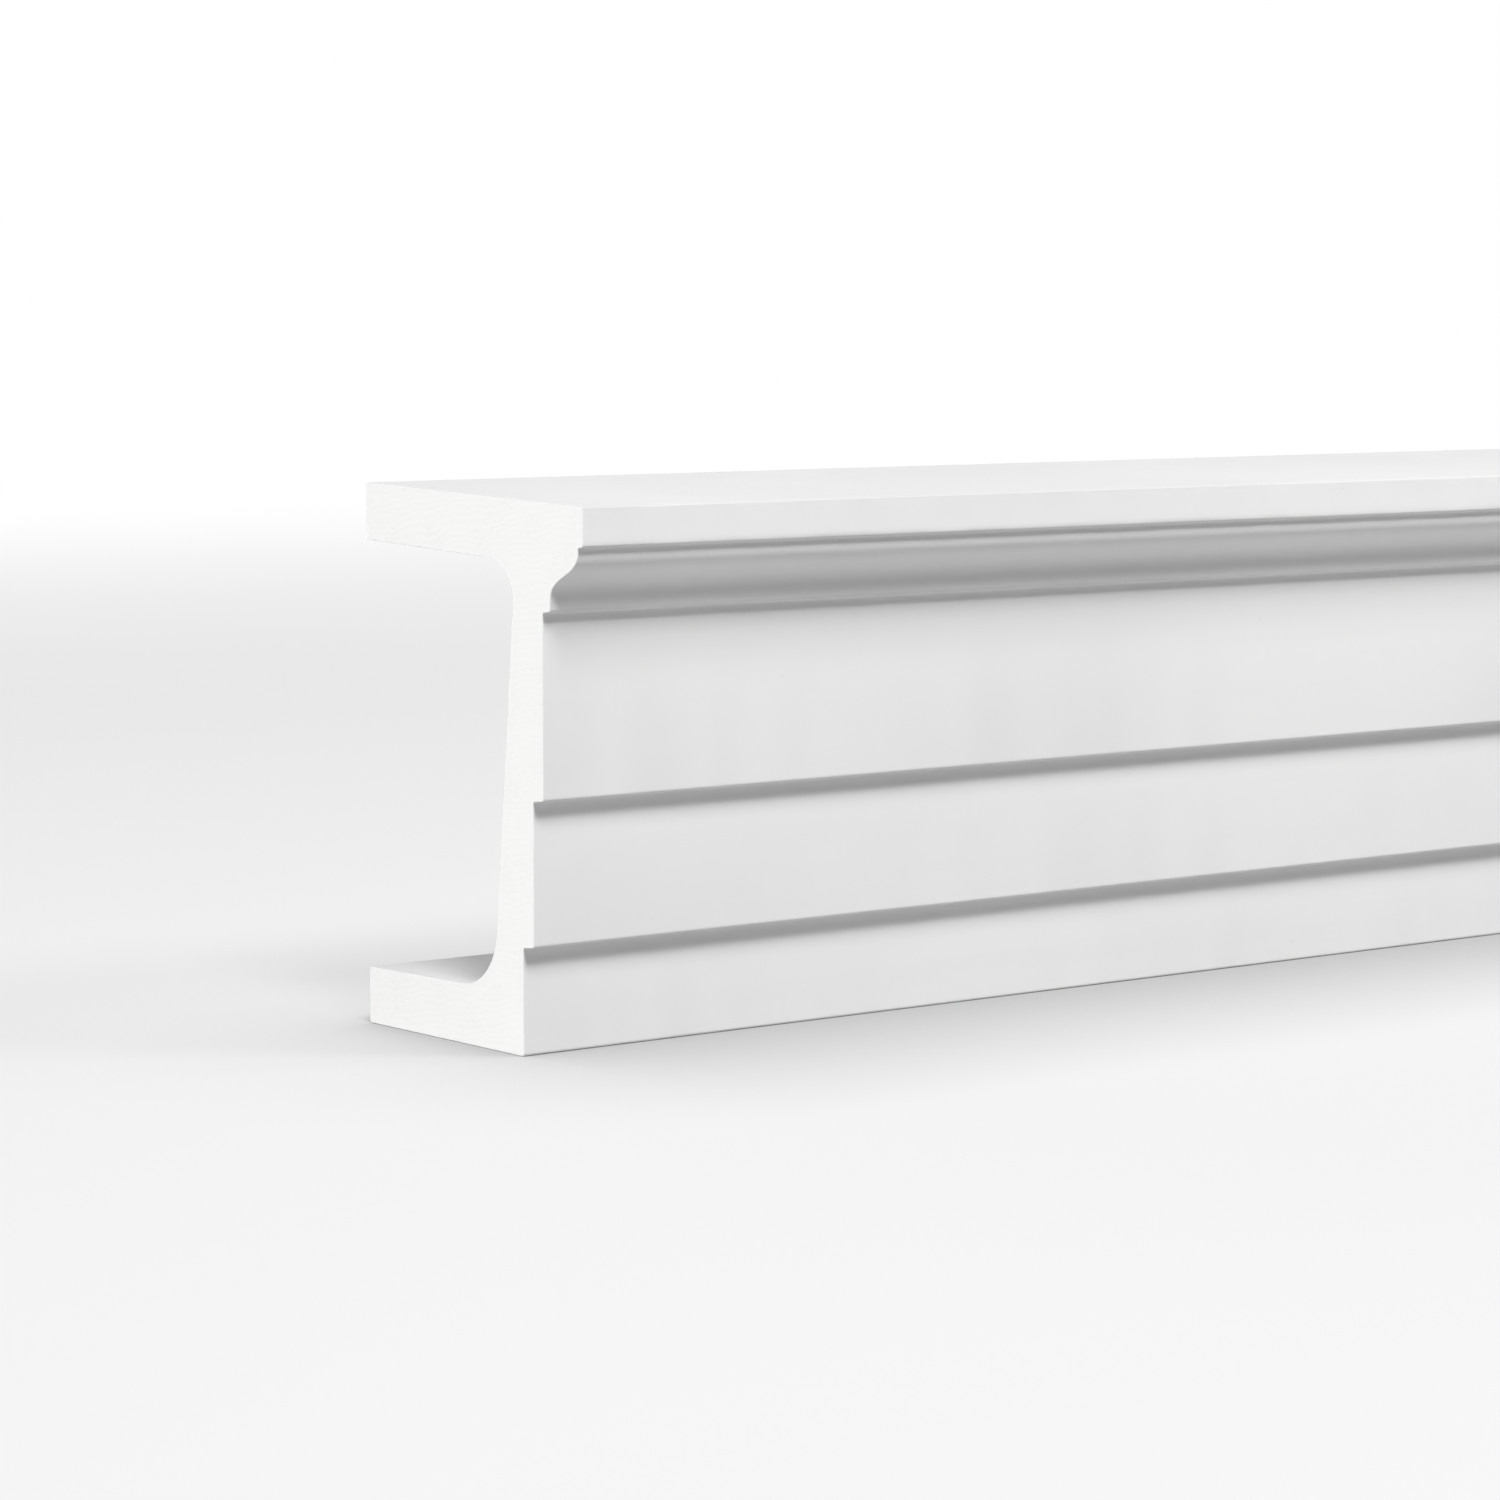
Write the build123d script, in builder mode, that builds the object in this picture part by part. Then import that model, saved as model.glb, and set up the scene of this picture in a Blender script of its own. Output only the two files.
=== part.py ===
from build123d import *
import os
from math import radians, tan

# A moulded facade architrave: one channel-shaped piece with three stepped fasciae,
# an ogee and a square crown in front, and an open channel towards the wall.
# X runs along the stock, the front faces -Y, the wall side faces +Y, and Z is up.
# The origin is under the middle of the piece. All sizes are in millimetres.

# Stock length
length = 2000.0

# Heights of the front members, each from its own lower arris to the next one up
lower_fascia_height = 39.3
middle_fascia_height = 52.4
upper_fascia_height = 66.6
ogee_height = 23.3
crown_height = 14.0

# The top face falls by this much from the wall to the front, so that water runs off
top_fall = 4.4

# How far the members stand out: the lowest from the wall plane, the rest each from the one below
lower_fascia_projection = 97.9
middle_fascia_step = 6.4
upper_fascia_step = 6.1
ogee_toe_step = 4.4
ogee_projection = 16.5
crown_step = 3.0

# The underside of each step falls towards the wall by this angle, which frees the piece from its mould
underside_draft = 5.5

# The ogee is upright at both ends: a short flat above its toe and below its head,
# and between them an S-curve whose ends run upright for about the bow before they turn
ogee_toe_flat = 4.2
ogee_head_flat = 1.6
ogee_bow = 9.0

# The channel at the back: flange thickness at the wall, and how much the flanges thicken inwards
flange_tip_thickness = 21.0
ceiling_fall = 3.9
floor_rise = 0.9
web_foot_thickness = 18.1
web_head_thickness = 16.5
channel_ceiling_radius = 15.0
channel_floor_radius = 22.0

# Edge rounding of the moulded section
arris_radius = 0.8
corner_radius = 0.9

# Levels of the lower arris of each member, and of the top face
middle_fascia_level = lower_fascia_height
upper_fascia_level = middle_fascia_level + middle_fascia_height
ogee_level = upper_fascia_level + upper_fascia_height
crown_level = ogee_level + ogee_height
top_front_level = crown_level + crown_height
top_back_level = top_front_level + top_fall

# Projections of each member from the wall plane
middle_fascia_projection = lower_fascia_projection + middle_fascia_step
upper_fascia_projection = middle_fascia_projection + upper_fascia_step
ogee_toe_projection = upper_fascia_projection + ogee_toe_step
ogee_head_projection = ogee_toe_projection + ogee_projection
crown_projection = ogee_head_projection + crown_step

# The wall plane stands half the overall depth behind the origin
wall_y = crown_projection / 2


def at(projection, level):
    """A point of the section, by its distance in front of the wall plane and above the underside."""
    return (wall_y - projection, level)


def drop(step):
    """How far the drafted underside of a step falls from its arris to its inner corner."""
    return step * tan(radians(underside_draft))


# Ends of the S-curve
ogee_toe = at(ogee_toe_projection, ogee_level + ogee_toe_flat)
ogee_head = at(ogee_head_projection, crown_level - drop(crown_step) - ogee_head_flat)
ogee_toe_handle = (ogee_toe[0], ogee_toe[1] + ogee_bow)
ogee_head_handle = (ogee_head[0], ogee_head[1] - ogee_bow)

# Corners of the section with their radii, from the ogee's toe down the front,
# round the channel, over the top and down the crown to the ogee's head
corners = [
    (at(ogee_toe_projection, ogee_level), arris_radius),
    (at(upper_fascia_projection, ogee_level - drop(ogee_toe_step)), corner_radius),
    (at(upper_fascia_projection, upper_fascia_level), arris_radius),
    (at(middle_fascia_projection, upper_fascia_level - drop(upper_fascia_step)), corner_radius),
    (at(middle_fascia_projection, middle_fascia_level), arris_radius),
    (at(lower_fascia_projection, middle_fascia_level - drop(middle_fascia_step)), corner_radius),
    (at(lower_fascia_projection, 0), arris_radius),
    (at(0, 0), arris_radius),
    (at(0, flange_tip_thickness), arris_radius),
    (
        at(lower_fascia_projection - web_foot_thickness, flange_tip_thickness + floor_rise),
        channel_floor_radius,
    ),
    (
        at(
            upper_fascia_projection - web_head_thickness,
            top_back_level - flange_tip_thickness - ceiling_fall,
        ),
        channel_ceiling_radius,
    ),
    (at(0, top_back_level - flange_tip_thickness), arris_radius),
    (at(0, top_back_level), arris_radius),
    (at(crown_projection, top_front_level), arris_radius),
    (at(crown_projection, crown_level), arris_radius),
    (at(ogee_head_projection, crown_level - drop(crown_step)), corner_radius),
]
corner_points = [point for point, radius in corners]
corner_radii = [radius for point, radius in corners]

# The architrave moulding: one section, run along the stock
with BuildPart() as architrave_moulding:
    with BuildSketch(Plane.YZ):
        with BuildLine():
            FilletPolyline(ogee_toe, *corner_points, ogee_head, radius=corner_radii)
            Bezier(ogee_head, ogee_head_handle, ogee_toe_handle, ogee_toe)
        make_face()
    extrude(amount=length / 2, both=True)

architrave_moulding.part.label = "architrave_moulding"
os.makedirs("parts", exist_ok=True)
export_step(architrave_moulding.part, "parts/architrave_moulding.step")
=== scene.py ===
import bpy
import bmesh
import math
from mathutils import Matrix, Vector, noise


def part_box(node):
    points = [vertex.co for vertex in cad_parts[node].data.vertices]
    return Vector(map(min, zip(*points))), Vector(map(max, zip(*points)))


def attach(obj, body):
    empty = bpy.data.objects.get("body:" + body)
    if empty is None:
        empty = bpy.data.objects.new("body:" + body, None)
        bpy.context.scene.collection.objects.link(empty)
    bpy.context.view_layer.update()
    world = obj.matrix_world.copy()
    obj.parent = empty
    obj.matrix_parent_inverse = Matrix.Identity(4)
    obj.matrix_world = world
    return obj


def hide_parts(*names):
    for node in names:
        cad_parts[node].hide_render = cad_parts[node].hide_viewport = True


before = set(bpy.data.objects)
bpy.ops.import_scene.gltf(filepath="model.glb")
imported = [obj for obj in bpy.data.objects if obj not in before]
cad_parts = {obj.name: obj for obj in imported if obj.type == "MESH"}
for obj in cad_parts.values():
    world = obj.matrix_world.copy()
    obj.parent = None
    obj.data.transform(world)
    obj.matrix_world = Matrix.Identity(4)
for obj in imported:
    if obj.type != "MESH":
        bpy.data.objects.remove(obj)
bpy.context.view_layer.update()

mm = 0.001
nodeName = "architrave_moulding"
nodeLow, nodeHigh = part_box(nodeName)
print("frame loaded, moulding box", [round(v, 4) for v in (*nodeLow, *nodeHigh)])

# the moulded run, lengths in metres
moulding = {
    # heights of the front members, each from its lower arris to the next one up
    "lowerFasciaHeight": 39.3 * mm,
    "middleFasciaHeight": 52.4 * mm,
    "upperFasciaHeight": 66.6 * mm,
    "ogeeHeight": 23.3 * mm,
    "crownHeight": 14.0 * mm,
    "topFall": 4.4 * mm,
    # how far the members stand out, the lowest from the wall, the rest each from the one below
    "lowerFasciaProjection": 97.9 * mm,
    "middleFasciaStep": 6.4 * mm,
    "upperFasciaStep": 6.1 * mm,
    "ogeeToeStep": 4.4 * mm,
    "ogeeProjection": 16.5 * mm,
    "crownStep": 3.0 * mm,
    "undersideDraft": math.radians(5.5),
    "ogeeToeFlat": 4.2 * mm,
    "ogeeHeadFlat": 1.6 * mm,
    "ogeeBow": 9.0 * mm,
    # the channel at the back
    "flangeTip": 21.0 * mm,
    "ceilingFall": 3.9 * mm,
    "floorRise": 0.9 * mm,
    "webFoot": 18.1 * mm,
    "webHead": 16.5 * mm,
    "ceilingRadius": 15.0 * mm,
    "floorRadius": 22.0 * mm,
    "arrisRadius": 0.8 * mm,
    "cornerRadius": 0.9 * mm,
    # how finely it is drawn
    "arrisSteps": 4,
    "sweepSteps": 10,
    "ogeeSteps": 20,
    "ringGap": 4.0 * mm,
    "sawEase": 0.15 * mm,  # worn-off corner of the sawn ends
    # guard loops keep the flats flat beside a rounded edge
    "guardGap": 0.4 * mm,
    "raggedGuards": (1, 4, 8),  # in gaps, beside a ragged arris
    "guardNibble": 0.2,  # the share of the nibble that the first of them takes
    "shortRun": 1.6 * mm,  # too short for a guard loop
    "longRun": 8.0 * mm,  # has room for all of them
    # unevenness of the casting, always into the material
    "faceWave": 0.06 * mm,
    "faceWaveLength": 160.0 * mm,
    "arrisNibble": 0.10 * mm,
    "crownNibble": 0.25 * mm,
    "nibbleLength": 14.0 * mm,
    "nibbleSeed": (7.0, 3.0, 1.0),
    "nibbleShare": 0.6,
    "patchLength": 126.0 * mm,  # ragged stretches come and go
    "patchSeed": (2.0, 11.0, 5.0),
    "patchShare": 0.7,
    "nibbleBias": 0.1,
}


def pointAt(projection, level):
    return Vector((nodeHigh.y - projection, nodeLow.z + level))


def sectionCorners(sizes):
    # corners from the ogee's toe down the front, round the channel, over the top to the ogee's head
    # each has its point, its rounding (radius, steps, nibble) and the skin of the run that follows it
    draft = math.tan(sizes["undersideDraft"])
    middleLevel = sizes["lowerFasciaHeight"]
    upperLevel = middleLevel + sizes["middleFasciaHeight"]
    ogeeLevel = upperLevel + sizes["upperFasciaHeight"]
    crownLevel = ogeeLevel + sizes["ogeeHeight"]
    topFront = crownLevel + sizes["crownHeight"]
    topBack = topFront + sizes["topFall"]
    lowerOut = sizes["lowerFasciaProjection"]
    middleOut = lowerOut + sizes["middleFasciaStep"]
    upperOut = middleOut + sizes["upperFasciaStep"]
    toeOut = upperOut + sizes["ogeeToeStep"]
    headOut = toeOut + sizes["ogeeProjection"]
    crownOut = headOut + sizes["crownStep"]
    headLevel = crownLevel - sizes["crownStep"] * draft

    arris = (sizes["arrisRadius"], sizes["arrisSteps"], sizes["arrisNibble"])
    crownArris = (sizes["arrisRadius"], sizes["arrisSteps"], sizes["crownNibble"])
    inner = (sizes["cornerRadius"], sizes["arrisSteps"], 0.0)
    floorSweep = (sizes["floorRadius"], sizes["sweepSteps"], 0.0)
    ceilingSweep = (sizes["ceilingRadius"], sizes["sweepSteps"], 0.0)
    sharp = (0.0, 0, 0.0)
    return [
        (pointAt(toeOut, ogeeLevel + sizes["ogeeToeFlat"]), sharp, "face"),
        (pointAt(toeOut, ogeeLevel), arris, "face"),
        (pointAt(upperOut, ogeeLevel - sizes["ogeeToeStep"] * draft), inner, "face"),
        (pointAt(upperOut, upperLevel), arris, "face"),
        (pointAt(middleOut, upperLevel - sizes["upperFasciaStep"] * draft), inner, "face"),
        (pointAt(middleOut, middleLevel), arris, "face"),
        (pointAt(lowerOut, middleLevel - sizes["middleFasciaStep"] * draft), inner, "face"),
        (pointAt(lowerOut, 0.0), arris, "face"),
        (pointAt(0.0, 0.0), arris, "back"),
        (pointAt(0.0, sizes["flangeTip"]), arris, "back"),
        (pointAt(lowerOut - sizes["webFoot"], sizes["flangeTip"] + sizes["floorRise"]), floorSweep, "back"),
        (
            pointAt(upperOut - sizes["webHead"], topBack - sizes["flangeTip"] - sizes["ceilingFall"]),
            ceilingSweep,
            "back",
        ),
        (pointAt(0.0, topBack - sizes["flangeTip"]), arris, "back"),
        (pointAt(0.0, topBack), arris, "face"),
        (pointAt(crownOut, topFront), arris, "face"),
        (pointAt(crownOut, crownLevel), crownArris, "face"),
        (pointAt(headOut, headLevel), inner, "face"),
        (pointAt(headOut, headLevel - sizes["ogeeHeadFlat"]), sharp, "face"),
    ]


def roundedCorner(before, corner, after, radius, steps):
    # points of the arc that rounds a corner
    into = (before - corner).normalized()
    out = (after - corner).normalized()
    half = into.angle(out) / 2
    reach = radius / math.tan(half)
    middle = corner + (into + out).normalized() * (radius / math.sin(half))
    first = corner + into * reach - middle
    last = corner + out * reach - middle
    turn = first.angle_signed(last)
    return [middle + Matrix.Rotation(-turn * k / steps, 2) @ first for k in range(steps + 1)]


def bezierPoint(a, b, c, d, t):
    s = 1 - t
    return a * s**3 + b * (3 * s * s * t) + c * (3 * s * t * t) + d * t**3


def guardLoops(edge, along, runLength, nibble, skin, sizes):
    # the guard loops beside one rounded edge, from the edge outwards
    ragged = nibble > sizes["arrisNibble"] and runLength > sizes["longRun"]
    reaches = sizes["raggedGuards"] if ragged else sizes["raggedGuards"][:1]
    nibbles = [nibble * sizes["guardNibble"]] + [0.0] * (len(reaches) - 1)
    return [(edge + along * reach * sizes["guardGap"], n, skin) for reach, n in zip(reaches, nibbles)]


def sectionProfile(sizes):
    # the closed outline as (point, nibble, skin of the stretch that follows)
    corners = sectionCorners(sizes)
    outline = []
    for i, (corner, (radius, steps, nibble), skin) in enumerate(corners):
        if radius == 0.0:
            outline.append((corner, 0.0, skin))
            continue
        arc = roundedCorner(corners[i - 1][0], corner, corners[i + 1][0], radius, steps)
        outline += [(point, nibble, skin) for point in arc]

    profile = []
    for start, end in zip(outline, outline[1:]):
        profile.append(start)
        skin = start[2]
        run = end[0] - start[0]
        if run.length < sizes["shortRun"]:
            continue
        along = run.normalized()
        profile += guardLoops(start[0], along, run.length, start[1], skin, sizes)
        profile += guardLoops(end[0], -along, run.length, end[1], skin, sizes)[::-1]
    profile.append(outline[-1])

    head, toe = outline[-1][0], outline[0][0]
    bow = Vector((0.0, sizes["ogeeBow"]))
    for k in range(1, sizes["ogeeSteps"]):
        t = k / sizes["ogeeSteps"]
        profile.append((bezierPoint(head, head - bow, toe + bow, toe, t), 0.0, "face"))
    return profile


def outwardNormals(points):
    area = sum(a.x * b.y - b.x * a.y for a, b in zip(points, points[1:] + points[:1]))
    side = 1 if area > 0 else -1
    normals = []
    for i in range(len(points)):
        along = (points[(i + 1) % len(points)] - points[i - 1]).normalized()
        normals.append(Vector((along.y, -along.x)) * side)
    return normals, side


def ringPlaces(sizes):
    # where the section is repeated along the run, and how far it is drawn in there
    ease = sizes["sawEase"]
    guard = ease + sizes["guardGap"]
    low, high = nodeLow.x, nodeHigh.x
    count = round((high - low - 2 * guard) / sizes["ringGap"])
    inner = [low + guard + (high - low - 2 * guard) * k / count for k in range(count + 1)]
    return [(low, ease), (low + ease, 0.0)] + [(x, 0.0) for x in inner] + [(high - ease, 0.0), (high, ease)]


def castingDepth(place, nibble, sizes):
    # how far the cast surface lies inside the true section
    wave = noise.noise(place / sizes["faceWaveLength"]) * 0.5 + 0.5  # from 0 to 1
    bite = noise.noise(place / sizes["nibbleLength"] + Vector(sizes["nibbleSeed"]))
    patch = noise.noise(place / sizes["patchLength"] + Vector(sizes["patchSeed"]))
    ragged = bite * sizes["nibbleShare"] + patch * sizes["patchShare"] + sizes["nibbleBias"]
    return wave * sizes["faceWave"] + nibble * max(0.0, ragged)


def buildMoulding(sizes, materials):
    profile = sectionProfile(sizes)
    normals, side = outwardNormals([point for point, nibble, skin in profile])
    rings = ringPlaces(sizes)

    mesh = bpy.data.meshes.new("mouldingRun")
    bm = bmesh.new()
    arrisLayer = bm.verts.layers.float.new("arris")
    loops = []
    for x, inset in rings:
        loop = []
        for (point, nibble, skin), normal in zip(profile, normals):
            place = Vector((x, point.x, point.y))
            depth = inset + castingDepth(place, nibble, sizes)
            vert = bm.verts.new((x, point.x - normal.x * depth, point.y - normal.y * depth))
            vert[arrisLayer] = min(1.0, nibble / sizes["arrisNibble"])
            loop.append(vert)
        loops.append(loop)

    skins = list(materials)
    for near, far in zip(loops, loops[1:]):
        for i, (point, nibble, skin) in enumerate(profile):
            k = (i + 1) % len(profile)
            corners = [near[i], near[k], far[k], far[i]]
            face = bm.faces.new(corners if side > 0 else corners[::-1])
            face.smooth = True
            face.material_index = skins.index(skin)
    for loop, flip in ((loops[0], side > 0), (loops[-1], side < 0)):
        cap = bm.faces.new(loop[::-1] if flip else loop)
        cap.material_index = skins.index("sawn")
        for edge in cap.edges:
            edge.smooth = False
    bm.normal_update()
    bm.to_mesh(mesh)
    bm.free()
    for skin in skins:
        mesh.materials.append(materials[skin])

    run = bpy.data.objects.new("mouldingRun", mesh)
    bpy.context.scene.collection.objects.link(run)
    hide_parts(nodeName)
    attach(run, "root")
    print("moulding built:", len(profile), "section points on each of", len(rings), "rings")


class NodeBoard:
    # shorthand for wiring the nodes of a material or a world
    def __init__(self, owner):
        self.owner = owner
        self.owner.use_nodes = True
        self.tree = owner.node_tree
        self.tree.nodes.clear()

    def plug(self, socket, value):
        if isinstance(value, bpy.types.NodeSocket):
            self.tree.links.new(value, socket)
        else:
            socket.default_value = value

    def add(self, kind, inputs=None, **settings):
        node = self.tree.nodes.new(kind)
        for key, value in settings.items():
            setattr(node, key, value)
        for key, value in (inputs or {}).items():
            self.plug(node.inputs[key], value)
        return node

    def math(self, operation, a, b=0.0, clamp=False):
        node = self.add("ShaderNodeMath", {0: a, 1: b}, operation=operation, use_clamp=clamp)
        return node.outputs[0]

    def ramp(self, value, edges, ends=(0.0, 1.0)):
        inputs = {"Value": value, "From Min": edges[0], "From Max": edges[1]}
        inputs.update({"To Min": ends[0], "To Max": ends[1]})
        return self.add("ShaderNodeMapRange", inputs, interpolation_type="SMOOTHSTEP").outputs["Result"]

    def blend(self, factor, a, b):
        # sockets 0, 6, 7 and output 2 are the ones that mix colours
        return self.add("ShaderNodeMix", data_type="RGBA", inputs={0: factor, 6: a, 7: b}).outputs[2]

    def noise(self, place, scale, detail):
        node = self.add("ShaderNodeTexNoise", {"Vector": place, "Scale": scale, "Detail": detail})
        return node.outputs["Fac"]

    def seenDirectly(self):
        # 1 for what the camera, a mirror or glass sees, 0 for the light that falls on the object
        path = self.add("ShaderNodeLightPath")
        mirrored = self.math("ADD", path.outputs["Is Glossy Ray"], path.outputs["Is Transmission Ray"])
        return self.math("ADD", path.outputs["Is Camera Ray"], mirrored, clamp=True)

    def coat(self, tone, rough, shine, height):
        # the surface itself, with its relief in metres
        relief = self.add("ShaderNodeBump", {"Strength": 1.0, "Distance": 1.0, "Height": height})
        inputs = {"Base Color": tone, "Roughness": rough, "Specular IOR Level": shine}
        shader = self.add("ShaderNodeBsdfPrincipled", {**inputs, "Normal": relief.outputs[0]})
        self.add("ShaderNodeOutputMaterial", {"Surface": shader.outputs[0]})


# white primer over cast foam; lengths in metres, scales in cells per metre
primer = {
    "colour": (0.835, 0.835, 0.832, 1),
    "cloudColour": (0.820, 0.821, 0.820, 1),
    # darker tone for the arrises: wear, and also painted shade over the highlight their rounding catches
    "scuffAndShadeColour": (0.72, 0.72, 0.715, 1),
    "pinholeColour": (0.70, 0.70, 0.695, 1),
    "cloudScale": 7.0,
    "cloudDetail": 4.0,
    "cloudEdges": (0.35, 0.65),
    "peelScale": 700.0,
    "peelDetail": 2.0,
    "peelHeight": 0.014 * mm,
    "streakScale": (4.0, 180.0, 180.0),  # drawn out along the run
    "streakDetail": 3.0,
    "streakEdges": (0.45, 0.75),
    "streakShare": 0.6,
    "streakHeight": 0.010 * mm,
    "rubAndShadeEdges": (0.40, 0.62),
    "rubAndShadeShares": (0.45, 0.90),  # how far the arrises are darkened, in clean and in clouded places: partly wear, partly painted shade over the bright line they catch
    "pinholeScale": 70.0,
    "pinholeSize": 0.030,  # of a cell
    "pinholeCore": 0.4,  # the part of it that is at full depth
    "pinholeDepth": 0.10 * mm,
    "wholeShare": 0.35,  # the share of the cells without a pinhole
    "roughEdges": (0.3, 0.7),
    "rough": (0.74, 0.90),
    "shine": 0.1,
    "faceGain": 1.0,  # how coarse the coat is on the show faces
    "backGain": 2.2,  # and towards the wall
}


def primedSkin(name, look, gain):
    board = NodeBoard(bpy.data.materials.new(name))
    place = board.add("ShaderNodeTexCoord").outputs["Object"]
    cloud = board.noise(place, look["cloudScale"], look["cloudDetail"])
    peel = board.noise(place, look["peelScale"], look["peelDetail"])
    drawn = board.add("ShaderNodeMapping", {"Vector": place, "Scale": look["streakScale"]})
    streak = board.noise(drawn.outputs[0], 1.0, look["streakDetail"])
    cells = board.add("ShaderNodeTexVoronoi", {"Vector": place, "Scale": look["pinholeScale"]})
    arris = board.add("ShaderNodeAttribute", attribute_name="arris").outputs["Fac"]

    # each cell has a random colour, which says whether it holds a pinhole
    cellColour = board.add("ShaderNodeSeparateColor", {"Color": cells.outputs["Color"]})
    picked = board.math("GREATER_THAN", cellColour.outputs[0], look["wholeShare"])
    rim, core = look["pinholeSize"], look["pinholeSize"] * look["pinholeCore"]
    pinhole = board.math("MULTIPLY", board.ramp(cells.outputs["Distance"], (rim, core)), picked)

    # clouding in the coat, faint streaks along the run, and arrises darkened partly by wear and partly by
    # painted shade that dulls the bright line their rounding catches
    rubbedAndShaded = board.math("MULTIPLY", arris, board.ramp(cloud, look["rubAndShadeEdges"], look["rubAndShadeShares"]))
    streaked = board.ramp(streak, look["streakEdges"], (0.0, look["streakShare"]))
    tone = board.blend(board.ramp(cloud, look["cloudEdges"]), look["colour"], look["cloudColour"])
    tone = board.blend(streaked, tone, look["cloudColour"])
    # the arrises darkened: rubbed wear, and painted shade that dulls their highlight
    tone = board.blend(rubbedAndShaded, tone, look["scuffAndShadeColour"])
    tone = board.blend(pinhole, tone, look["pinholeColour"])

    rough = board.ramp(cloud, look["roughEdges"], look["rough"])
    height = board.math("MULTIPLY", peel, look["peelHeight"] * gain)
    height = board.math("ADD", height, board.math("MULTIPLY", streak, look["streakHeight"] * gain))
    height = board.math("SUBTRACT", height, board.math("MULTIPLY", pinhole, look["pinholeDepth"]))
    board.coat(tone, rough, look["shine"], height)
    return board.owner


# the cut through the foam: fine cells and the faint lines of the saw
cutFoam = {
    "colour": (0.845, 0.844, 0.838, 1),
    "cellColour": (0.775, 0.774, 0.766, 1),
    "cellScale": 1100.0,
    "cellEdges": (0.42, 0.12),  # from the wall of a cut cell to its hollow
    "cellDepth": 0.05 * mm,
    "coarseScale": 55.0,
    "coarseDetail": 5.0,
    "coarseEdges": (0.38, 0.66),  # from dense foam to foam that shows its cells
    "sawTilt": math.radians(9.0),
    "sawScale": 420.0,
    "sawWander": 10.0 * mm,
    "sawDepth": 0.012 * mm,
    "rough": 0.86,
    "shine": 0.2,
}


def sawnSkin(name, look):
    board = NodeBoard(bpy.data.materials.new(name))
    place = board.add("ShaderNodeTexCoord").outputs["Object"]
    cells = board.add("ShaderNodeTexVoronoi", {"Vector": place, "Scale": look["cellScale"]})
    coarse = board.noise(place, look["coarseScale"], look["coarseDetail"])
    tilted = board.add("ShaderNodeMapping", {"Vector": place, "Rotation": (look["sawTilt"], 0.0, 0.0)})
    across = board.add("ShaderNodeSeparateXYZ", {"Vector": tilted.outputs[0]})
    wander = board.math("ADD", across.outputs["Z"], board.math("MULTIPLY", coarse, look["sawWander"]))
    kerf = board.math("SINE", board.math("MULTIPLY", wander, look["sawScale"] * math.tau))

    hollow = board.ramp(cells.outputs["Distance"], look["cellEdges"])
    shown = board.math("MULTIPLY", hollow, board.ramp(coarse, look["coarseEdges"]))
    tone = board.blend(shown, look["colour"], look["cellColour"])
    height = board.math("MULTIPLY", shown, -look["cellDepth"])
    height = board.math("ADD", height, board.math("MULTIPLY", kerf, look["sawDepth"]))
    board.coat(tone, look["rough"], look["shine"], height)
    return board.owner


finishes = {
    "face": primedSkin("primedFace", primer, primer["faceGain"]),
    "back": primedSkin("primedBack", primer, primer["backGain"]),
    "sawn": sawnSkin("sawnEnd", cutFoam),
}
print("finishes mixed:", ", ".join(finish.name for finish in finishes.values()))
buildMoulding(moulding, finishes)

# the middle of what the camera sees of the run: a little in from the near end, half way up
seenMiddle = Vector((nodeLow.x + 220.0 * mm, 0.0, 100.0 * mm))

# the level that everything stands on: pale where it is seen, with a painted shadow close to the object, paler
# with distance, and dull as a reflector
floorLook = {
    "bounce": (0.50, 0.50, 0.50, 1),
    "lit": (0.24, 0.24, 0.24, 1),  # the share that takes the lamps and the long shadow
    "glow": 0.64,  # the share that glows, dimmed near the object by a painted shadow from ambient occlusion
    "closeShadow": 0.16,  # how far that reaches
    "closeSamples": 16,
    "farGlow": 1.0,
    "fadeFrom": 1.2,
    "fadeTo": 5.0,
    "size": 60.0,
    "drop": 0.1 * mm,  # below the underside, so that the two don't flicker
}


def floorFinish(look):
    board = NodeBoard(bpy.data.materials.new("paleFloor"))
    place = board.add("ShaderNodeTexCoord").outputs["Object"]
    away = board.add("ShaderNodeVectorMath", {0: place, 1: seenMiddle}, operation="DISTANCE").outputs["Value"]
    far = board.ramp(away, (look["fadeFrom"], look["fadeTo"]))
    lit = board.add("ShaderNodeBsdfDiffuse", {"Color": look["lit"]})
    # painted shadow: ambient occlusion dims the floor's glow close to the object
    close = board.add("ShaderNodeAmbientOcclusion", {"Distance": look["closeShadow"]})
    close.samples = look["closeSamples"]
    strength = board.math("MULTIPLY", close.outputs["AO"], look["glow"])
    glow = board.add("ShaderNodeEmission", {"Strength": strength})
    near = board.add("ShaderNodeAddShader", {0: lit.outputs[0], 1: glow.outputs[0]})
    farGlow = board.add("ShaderNodeEmission", {"Strength": look["farGlow"]})
    seen = board.add("ShaderNodeMixShader", {0: far, 1: near.outputs[0], 2: farGlow.outputs[0]})
    bounce = board.add("ShaderNodeBsdfDiffuse", {"Color": look["bounce"]})
    direct = board.seenDirectly()
    pick = board.add("ShaderNodeMixShader", {0: direct, 1: bounce.outputs[0], 2: seen.outputs[0]})
    board.add("ShaderNodeOutputMaterial", {"Surface": pick.outputs[0]})
    return board.owner


def layFloor(look):
    half = look["size"] / 2
    level = nodeLow.z - look["drop"]
    mesh = bpy.data.meshes.new("studioFloor")
    corners = [(-half, -half, level), (half, -half, level), (half, half, level), (-half, half, level)]
    mesh.from_pydata(corners, [], [(0, 1, 2, 3)])
    mesh.materials.append(floorFinish(look))
    floor = bpy.data.objects.new("studioFloor", mesh)
    bpy.context.scene.collection.objects.link(floor)
    print("floor laid")


layFloor(floorLook)

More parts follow.
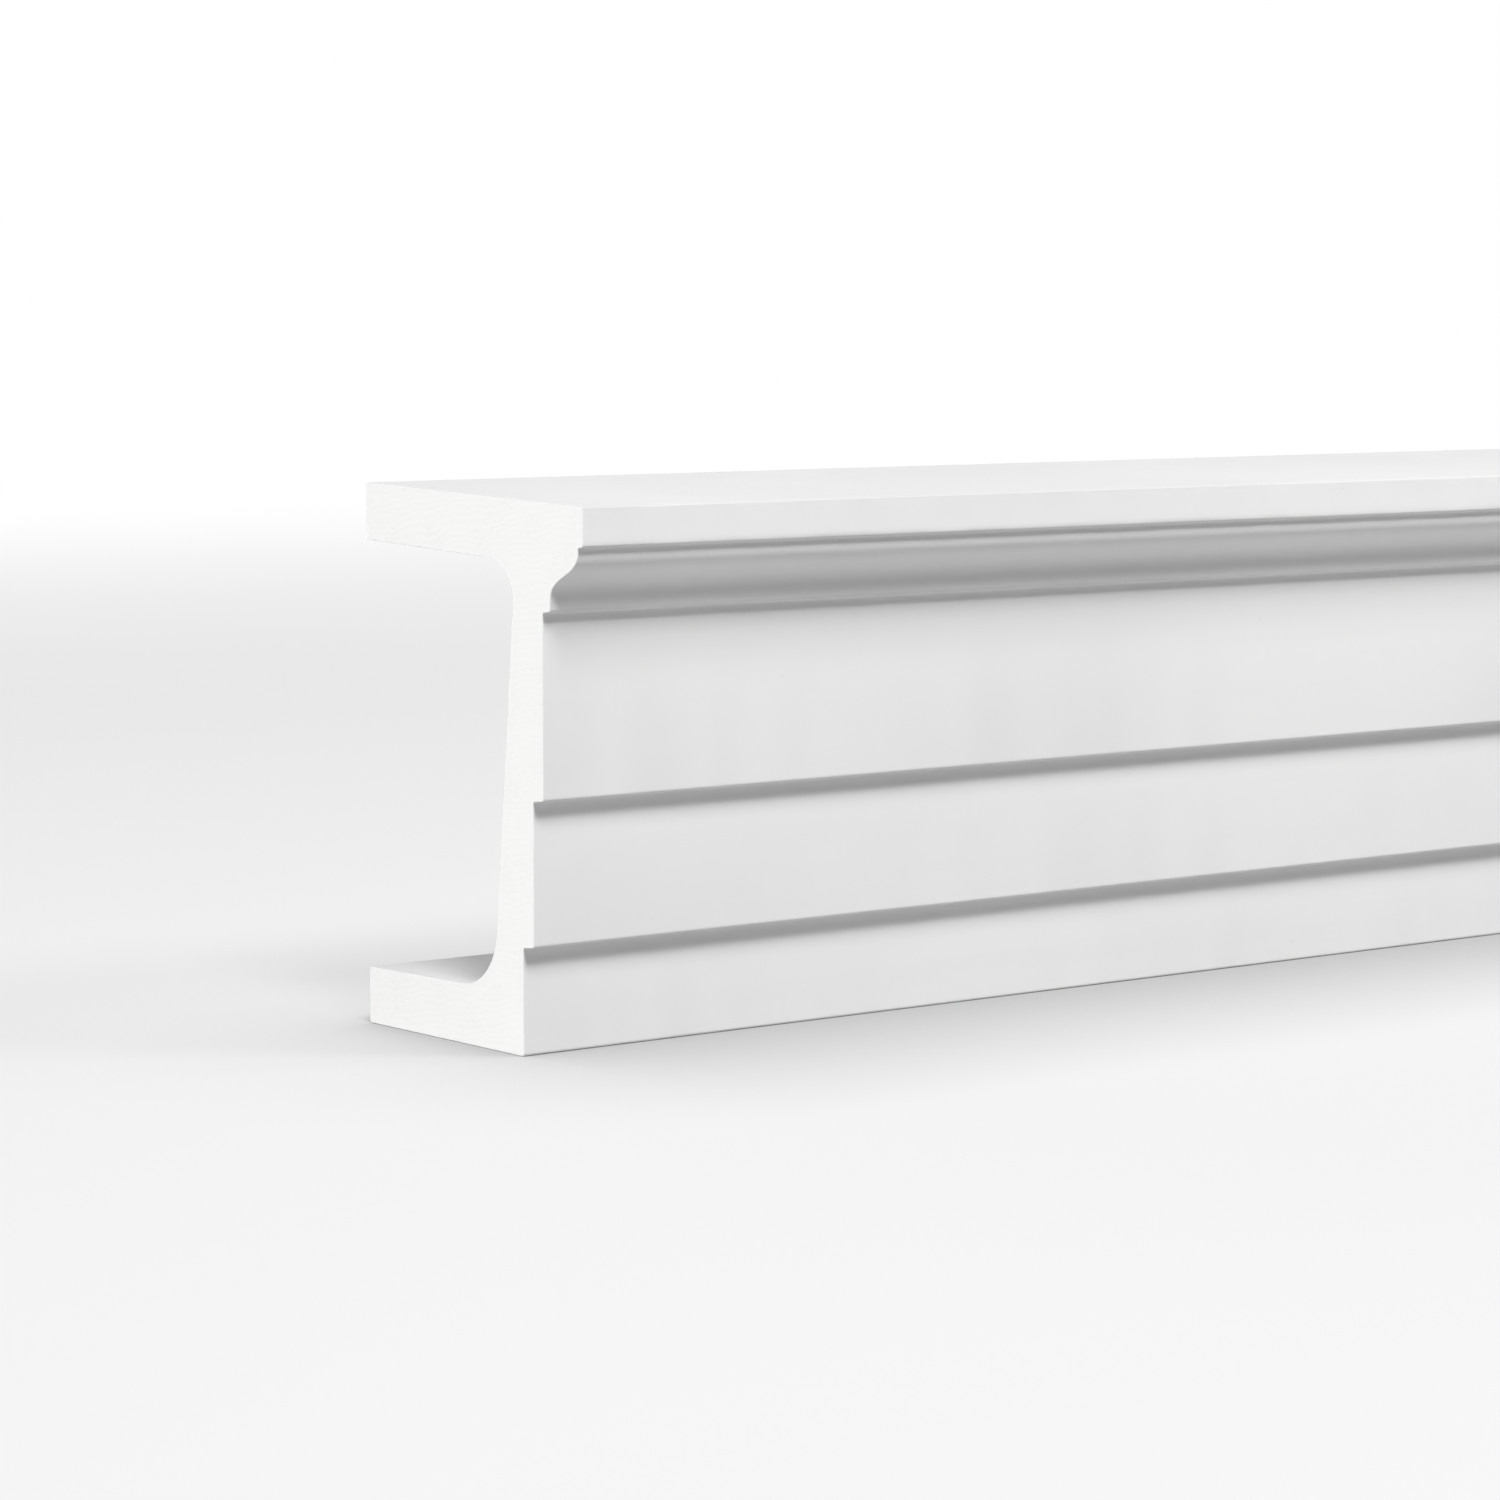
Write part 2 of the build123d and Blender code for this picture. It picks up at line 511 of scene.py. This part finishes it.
# soft lamps: the place along the run that each looks at, how far it is turned to the left of the front
# and raised, in degrees, how far away it is, its width and height, and how strong it is
lamps = {
    "frontRight": {"at": -0.78, "turn": -40, "rise": 40, "away": 2.6, "size": (0.55, 0.55), "watts": 27.8},
    "frontLeft": {"at": -0.78, "turn": 24, "rise": 53, "away": 2.6, "size": (0.55, 0.85), "watts": 42.0},
    "farRight": {"at": 1.0, "turn": -50, "rise": 35, "away": 2.6, "size": (0.55, 0.55), "watts": 27.0},
    "nearSide": {"at": -0.78, "turn": 90, "rise": 7, "away": 5.2, "size": (1.4, 1.4), "watts": 176.0},
    "farSide": {"at": 1.0, "turn": -90, "rise": 7, "away": 4.6, "size": (1.2, 1.2), "watts": 105.0},
    "behind": {"at": 0.0, "turn": 180, "rise": 9, "away": 5.6, "size": (6.0, 0.8), "watts": 265.0},
}


def hangLamp(name, look):
    turn, rise = math.radians(look["turn"]), math.radians(look["rise"])
    toward = Vector((-math.sin(turn) * math.cos(rise), -math.cos(turn) * math.cos(rise), math.sin(rise)))
    data = bpy.data.lights.new(name, "AREA")
    data.shape = "RECTANGLE"
    data.size, data.size_y = look["size"]
    data.energy = look["watts"]
    lamp = bpy.data.objects.new(name, data)
    lamp.location = Vector((look["at"], 0.0, seenMiddle.z)) + toward * look["away"]
    lamp.rotation_mode = "QUATERNION"
    lamp.rotation_quaternion = toward.to_track_quat("Z", "Y")
    lamp.visible_camera = False
    lamp.visible_glossy = False
    bpy.context.scene.collection.objects.link(lamp)


for lampName, lampLook in lamps.items():
    hangLamp(lampName, lampLook)
print("lamps hung:", ", ".join(lamps))

# the studio round it: almost no light of its own, and white where it is seen
studio = {
    "colour": (1, 1, 1, 1),
    "dome": 0.02,
    "seen": 1.0,
}


def paintWorld(look):
    world = bpy.data.worlds.new("studioWorld")
    bpy.context.scene.world = world
    board = NodeBoard(world)
    dome = board.add("ShaderNodeBackground", {"Strength": look["dome"], "Color": look["colour"]})
    seen = board.add("ShaderNodeBackground", {"Strength": look["seen"], "Color": look["colour"]})
    direct = board.seenDirectly()
    pick = board.add("ShaderNodeMixShader", {0: direct, 1: dome.outputs[0], 2: seen.outputs[0]})
    board.add("ShaderNodeOutputWorld", {"Surface": pick.outputs[0]})
    print("world painted")


paintWorld(studio)

# the camera, worked out from the photo's long edges and its square end
camera = {
    "place": (-1922.6 * mm, -1328.7 * mm, 266.3 * mm),
    "heading": math.radians(38.286),  # from +Y towards +X
    "dip": math.radians(5.649),
    "lensPixels": 4549.4,  # focal length, in pixels of the photo
    "framePixels": 1500,  # width of the photo
    "sensor": 36.0,  # width, in millimetres
    "sees": (0.05, 200.0),  # nearest and farthest
}


def standCamera(look):
    heading, dip = look["heading"], look["dip"]
    level = math.cos(dip)
    forward = Vector((math.sin(heading) * level, math.cos(heading) * level, -math.sin(dip)))
    data = bpy.data.cameras.new("studioCamera")
    data.sensor_fit = "HORIZONTAL"
    data.sensor_width = look["sensor"]
    data.lens = look["lensPixels"] / look["framePixels"] * look["sensor"]
    data.clip_start, data.clip_end = look["sees"]
    eye = bpy.data.objects.new("studioCamera", data)
    eye.location = look["place"]
    eye.rotation_mode = "QUATERNION"
    eye.rotation_quaternion = forward.to_track_quat("-Z", "Y")
    bpy.context.scene.collection.objects.link(eye)
    bpy.context.scene.camera = eye
    print("camera stands, lens", round(data.lens, 1), "mm")


standCamera(camera)
bpy.context.scene.view_settings.view_transform = "Standard"
